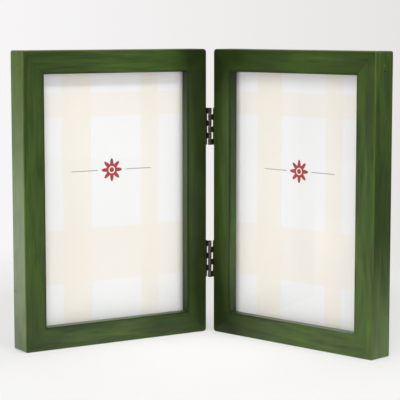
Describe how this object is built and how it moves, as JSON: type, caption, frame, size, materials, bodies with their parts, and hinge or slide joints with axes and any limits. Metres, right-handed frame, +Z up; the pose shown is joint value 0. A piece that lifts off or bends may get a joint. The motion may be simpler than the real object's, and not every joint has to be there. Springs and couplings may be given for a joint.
{
  "type": "hinged double photo frame",
  "caption": "Folding wooden photo frame: glazed portrait leaves with mitred green-stained moulding, joined by butt hinges, with turn buttons that hold the backs in.",
  "frame": {"origin": "on the floor under the middle of the open frame's box", "axes": "+Z up along the hinge pins, the fronts look towards -Y, +X from the left leaf to the right leaf"},
  "size_m": [0.2178, 0.0886, 0.174],
  "materials": {
    "green_stained_wood": "green stained wood with a satin lacquer",
    "clear_glass": "clear float glass",
    "print_paper": "satin printed paper",
    "grey_card": "grey card",
    "black_backing_board": "black painted hardboard",
    "dark_bronze": "dark bronze plated steel",
    "zinc_plated_steel": "bright zinc plated steel"
  },
  "bodies": {
    "left_leaf": {"left_top_rail": "green_stained_wood", "left_bottom_rail": "green_stained_wood", "left_outer_stile": "green_stained_wood", "left_hinge_stile": "green_stained_wood", "left_glass": "clear_glass", "left_print": "print_paper", "left_filler_card": "grey_card", "left_backing_board": "black_backing_board", "left_button_screw_top": "zinc_plated_steel", "left_button_screw_bottom": "zinc_plated_steel", "left_button_screw_outer": "zinc_plated_steel", "left_button_screw_hinge": "zinc_plated_steel", "left_brad_top_outer": "zinc_plated_steel", "left_brad_top_hinge": "zinc_plated_steel", "left_brad_bottom_outer": "zinc_plated_steel", "left_brad_bottom_hinge": "zinc_plated_steel", "upper_hinge_left_plate": "dark_bronze", "upper_hinge_left_screw_top": "dark_bronze", "upper_hinge_left_screw_bottom": "dark_bronze", "upper_hinge_pin": "dark_bronze", "lower_hinge_left_plate": "dark_bronze", "lower_hinge_left_screw_top": "dark_bronze", "lower_hinge_left_screw_bottom": "dark_bronze", "lower_hinge_pin": "dark_bronze"},
    "right_leaf": {"right_top_rail": "green_stained_wood", "right_bottom_rail": "green_stained_wood", "right_outer_stile": "green_stained_wood", "right_hinge_stile": "green_stained_wood", "right_glass": "clear_glass", "right_print": "print_paper", "right_filler_card": "grey_card", "right_backing_board": "black_backing_board", "right_button_screw_top": "zinc_plated_steel", "right_button_screw_bottom": "zinc_plated_steel", "right_button_screw_outer": "zinc_plated_steel", "right_button_screw_hinge": "zinc_plated_steel", "right_brad_top_outer": "zinc_plated_steel", "right_brad_top_hinge": "zinc_plated_steel", "right_brad_bottom_outer": "zinc_plated_steel", "right_brad_bottom_hinge": "zinc_plated_steel", "upper_hinge_right_plate": "dark_bronze", "upper_hinge_right_screw_top": "dark_bronze", "upper_hinge_right_screw_bottom": "dark_bronze", "lower_hinge_right_plate": "dark_bronze", "lower_hinge_right_screw_top": "dark_bronze", "lower_hinge_right_screw_bottom": "dark_bronze"},
    "left_turn_button_top": {"left_turn_button_top": "zinc_plated_steel"},
    "left_turn_button_bottom": {"left_turn_button_bottom": "zinc_plated_steel"},
    "left_turn_button_outer": {"left_turn_button_outer": "zinc_plated_steel"},
    "left_turn_button_hinge": {"left_turn_button_hinge": "zinc_plated_steel"},
    "right_turn_button_top": {"right_turn_button_top": "zinc_plated_steel"},
    "right_turn_button_bottom": {"right_turn_button_bottom": "zinc_plated_steel"},
    "right_turn_button_outer": {"right_turn_button_outer": "zinc_plated_steel"},
    "right_turn_button_hinge": {"right_turn_button_hinge": "zinc_plated_steel"}
  },
  "joints": [
    {"name": "fold", "type": "hinge", "parent": "left_leaf", "child": "right_leaf", "pos_m": [0, 0.03099, 0.087], "axis": [0, 0, 1], "range_deg": [-103.7, 76.3]},
    {"name": "left_turn_button_top_turn", "type": "hinge", "parent": "left_leaf", "child": "left_turn_button_top", "pos_m": [-0.06092, 0.00672, 0.169], "axis": [-0.6177, 0.7864, 0], "range_deg": [-90, 90]},
    {"name": "left_turn_button_bottom_turn", "type": "hinge", "parent": "left_leaf", "child": "left_turn_button_bottom", "pos_m": [-0.06092, 0.00672, 0.005], "axis": [-0.6177, 0.7864, 0], "range_deg": [-90, 90]},
    {"name": "left_turn_button_outer_turn", "type": "hinge", "parent": "left_leaf", "child": "left_turn_button_outer", "pos_m": [-0.10551, -0.0283, 0.087], "axis": [-0.6177, 0.7864, 0], "range_deg": [-90, 90]},
    {"name": "left_turn_button_hinge_turn", "type": "hinge", "parent": "left_leaf", "child": "left_turn_button_hinge", "pos_m": [-0.01633, 0.04175, 0.087], "axis": [-0.6177, 0.7864, 0], "range_deg": [-90, 90]},
    {"name": "right_turn_button_top_turn", "type": "hinge", "parent": "right_leaf", "child": "right_turn_button_top", "pos_m": [0.06092, 0.00672, 0.169], "axis": [0.6177, 0.7864, 0], "range_deg": [-90, 90]},
    {"name": "right_turn_button_bottom_turn", "type": "hinge", "parent": "right_leaf", "child": "right_turn_button_bottom", "pos_m": [0.06092, 0.00672, 0.005], "axis": [0.6177, 0.7864, 0], "range_deg": [-90, 90]},
    {"name": "right_turn_button_outer_turn", "type": "hinge", "parent": "right_leaf", "child": "right_turn_button_outer", "pos_m": [0.10551, -0.0283, 0.087], "axis": [0.6177, 0.7864, 0], "range_deg": [-90, 90]},
    {"name": "right_turn_button_hinge_turn", "type": "hinge", "parent": "right_leaf", "child": "right_turn_button_hinge", "pos_m": [0.01633, 0.04175, 0.087], "axis": [0.6177, 0.7864, 0], "range_deg": [-90, 90]}
  ]
}
